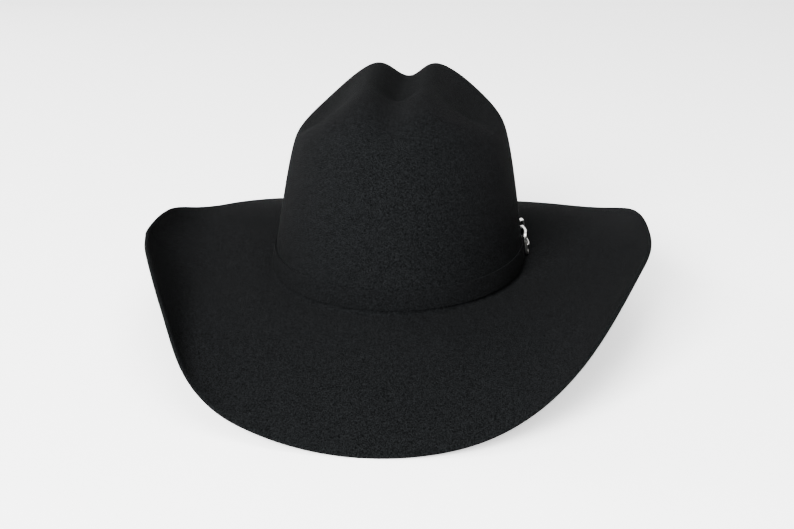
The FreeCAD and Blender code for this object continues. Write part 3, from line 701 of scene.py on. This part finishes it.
def ribbon(path, place, half_width, thick):
    """Ribbon through a path of (along, inwards) with a width for each point."""
    base_p, out, along, up = place
    path = np.asarray(path, float)
    run = unit(np.gradient(path, axis=0))
    side = np.stack([-run[:, 1], run[:, 0]], -1)
    rings = []
    for (x, y), (nx, ny), w in zip(path, side, half_width):
        middle = base_p + along * x - out * y
        normal = along * nx - out * ny
        rings.append([middle + up * a + normal * b
                      for a, b in rounded_section(w, thick / 2, thick * 0.45, 3)])
    return np.array(rings)


def make_bow():
    """Two loops, two tails and the knot round them; x runs along the bow and y inwards."""
    p, out, along, up = wall_frame(math.pi, BOW_H)
    centre = p - out * (SWEAT_IN + BOW_OFF)
    place = (centre, out, along, up)
    ribbons = []
    for k in (1, -1):
        a = np.linspace(0, 2 * math.pi, 33)
        x = 6.4 - 4.9 * np.cos(a)
        y = 1.25 + 0.95 * np.sin(a) * ease((x - 1.0) / 4.0) + 0.25 * np.sin(a)
        width = 1.5 + 1.5 * ease((x - 1.2) / 6.0)
        ribbons.append(ribbon(np.stack([k * x, y], -1), place, width, RIBBON))
    for k in (1, -1):
        q = np.linspace(0, 1, 12)
        path = np.stack([k * (1.2 + 8.5 * q), 0.25 + 0.25 * np.sin(math.pi * q)], -1)
        drooping = (centre, out, unit(along - up * 0.75 * k), unit(up + along * 0.75 * k))
        ribbons.append(ribbon(path, drooping, 1.5 + 0.9 * q, RIBBON))
    a = np.linspace(0, 2 * math.pi, 25)
    path = np.stack([1.5 * np.sin(a), 1.25 + 1.15 * np.cos(a)], -1)
    ribbons.append(ribbon(path, place, np.full(25, 1.7), KNOT_RIBBON))

    verts, faces = [], []
    for rings in ribbons:
        faces += lattice_faces(len(rings), rings.shape[1], start=len(verts))
        verts += rings.reshape(-1, 3).tolist()
    bow = mesh_object("sweatband_bow_ribbon", verts, faces)
    fix_normals(bow)
    dress(bow, RIBBON_MAT)
    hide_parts("sweatband_bow")


def make_label():
    half = LABEL_HALF / HALF_LENGTH
    stations = np.linspace(LABEL_STATION - half, LABEL_STATION + half, 30)
    outline = sheet_outline(LABEL_OUT, LABEL_IN, LABEL_LOW, LABEL_HIGH, 14)
    label = wall_sheet("size_label_blank", stations, outline)
    dress(label, LABEL_MAT)
    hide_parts("size_label")


# Lining

def lining_rows(t, count, low_share, top_slope):
    """Rows of the crown's outside with their normals, from a height over radius of top_slope
    down to a share low_share of its height."""
    low_slope = low_share / (1 - low_share ** SQUARENESS) ** (1 / SQUARENESS)
    rows = crown_rows(t, count, math.atan(top_slope), math.atan(low_slope))
    return rows, row_normals(rows)


def double_skin(rows, normals, depth):
    """The two faces of a thin sheet that hangs depth mm inside the crown."""
    outer = rows - normals * depth
    inner = rows - normals * (depth + SATIN_THICK)
    return np.concatenate([outer, inner[::-1]])


def make_lining():
    t = np.linspace(0, 2 * math.pi, AROUND, endpoint=False)
    rows, normals = lining_rows(t, 40, SIDE_LOW, SIDE_TOP)
    normals[0] = normals[1]
    height = rows[..., 2] / CROWN_HEIGHT
    loose = ease((height - LOOSE_FROM) / 0.08) * ease((SEAM_SHARE - height) / 0.03 + 0.4)
    folds = (0.5 + 0.5 * np.sin(34 * t + 1.3 * np.sin(5 * t))) * 0.7
    folds = folds + (0.5 + 0.5 * np.sin(11 * t + 0.7)) * 0.5
    depth = (LINING_DEPTH + loose * folds[None, :])[..., None]
    skin = double_skin(rows, normals, depth)
    side = mesh_object("lining_side_satin", skin, lattice_faces(*skin.shape[:2], True))
    fix_normals(side)
    dress(side, SATIN_MAT)
    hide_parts("lining_side")

    rows, normals = lining_rows(t, 60, TIP_LOW, MIDDLE)
    share = np.linspace(1, 0, 60)[:, None]
    gathers = (0.5 + 0.5 * np.sin(40 * t + 1.1 * np.sin(7 * t)))[None, :]
    gathers = gathers * ease(1 - share) * ease(share)
    depth = (LINING_DEPTH + 0.5 * gathers)[..., None]
    tip = tube_object("lining_tip_satin", double_skin(rows, normals, depth))
    fix_normals(tip)
    dress(tip, SATIN_MAT)
    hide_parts("lining_tip")


# CAD nodes that stay as they are, with better materials and softened edges

def dress_node(name, mat, edge=0.0):
    """New material on a CAD node, with its sharp edges rounded edge mm wide."""
    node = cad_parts[name]
    for i in range(len(node.data.materials)):
        node.data.materials[i] = mat
    if edge:
        modifier = node.modifiers.new("edge", "BEVEL")
        modifier.width = edge / 1000
        modifier.segments = 2
        modifier.limit_method = "ANGLE"
        modifier.angle_limit = math.radians(35)


def make_carried_over():
    dress_node("buckle_frame", STEEL_MAT, 0.25)
    dress_node("buckle_bar", STEEL_MAT)
    dress_node("buckle_prong", STEEL_MAT)
    dress_node("band_keeper", STEEL_MAT, 0.15)
    dress_node("band_tip", STEEL_MAT, 0.2)
    dress_node("sweatband_reed", REED_MAT)
    dress_node("tip_shield", FILM_MAT)
    dress_node("lining_piping", SATIN_MAT)
    dress_node("band_fold_stitches", THREAD_MAT)
    dress_node("band_tack_stitches", THREAD_MAT)


# Room, light and camera

def make_stage():
    floor_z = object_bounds()[0][2]
    verts = [(x * FLOOR_REACH, y * FLOOR_REACH, floor_z)
             for x, y in ((-1, -1), (1, -1), (1, 1), (-1, 1))]
    mesh = bpy.data.meshes.new("studio_floor")
    mesh.from_pydata(verts, [], [[0, 1, 2, 3]])
    floor = bpy.data.objects.new("studio_floor", mesh)
    bpy.context.scene.collection.objects.link(floor)
    paper = material("white_paper", (0.95, 0.95, 0.95), 0.9)
    shader_of(paper).inputs["Emission Color"].default_value = (1, 1, 1, 1)
    shader_of(paper).inputs["Emission Strength"].default_value = FLOOR_GLOW
    mesh.materials.append(paper)


def add_light(name, place, side, power):
    data = bpy.data.lights.new(name, "AREA")
    data.shape = "RECTANGLE"
    data.size = data.size_y = side
    data.energy = power
    light = bpy.data.objects.new(name, data)
    light.location = place
    facing = LIGHT_TARGET - Vector(place)
    light.rotation_euler = facing.to_track_quat("-Z", "Y").to_euler()
    bpy.context.scene.collection.objects.link(light)


def make_light():
    world = bpy.data.worlds.new("studio")
    world.use_nodes = True
    background = world.node_tree.nodes["Background"]
    background.inputs["Color"].default_value = (1, 1, 1, 1)
    background.inputs["Strength"].default_value = WORLD_LIGHT
    bpy.context.scene.world = world
    for settings in LIGHTS:
        add_light(*settings)


def make_camera():
    yaw, elevation, roll = (math.radians(a) for a in
                            (CAMERA_YAW, CAMERA_ELEVATION, CAMERA_ROLL))
    back = Vector((math.sin(yaw) * math.cos(elevation), -math.cos(yaw) * math.cos(elevation),
                   math.sin(elevation)))
    right = Vector((math.cos(yaw), math.sin(yaw), 0))
    up = back.cross(right)
    side = right * math.cos(roll) + up * math.sin(roll)
    top = up * math.cos(roll) - right * math.sin(roll)
    data = bpy.data.cameras.new("photo_camera")
    data.sensor_width = 36.0
    data.lens = CAMERA_LENS
    data.shift_x, data.shift_y = CAMERA_SHIFT
    camera = bpy.data.objects.new("photo_camera", data)
    camera.matrix_world = Matrix.Translation(back * CAMERA_DISTANCE) @ Matrix(
        (side, top, back)).transposed().to_4x4()
    bpy.context.scene.collection.objects.link(camera)
    bpy.context.scene.camera = camera


make_felt()
make_band()
make_sweatband()
make_sweatband_stitches()
make_bow()
make_label()
make_lining()
make_carried_over()
make_stage()
make_light()
make_camera()
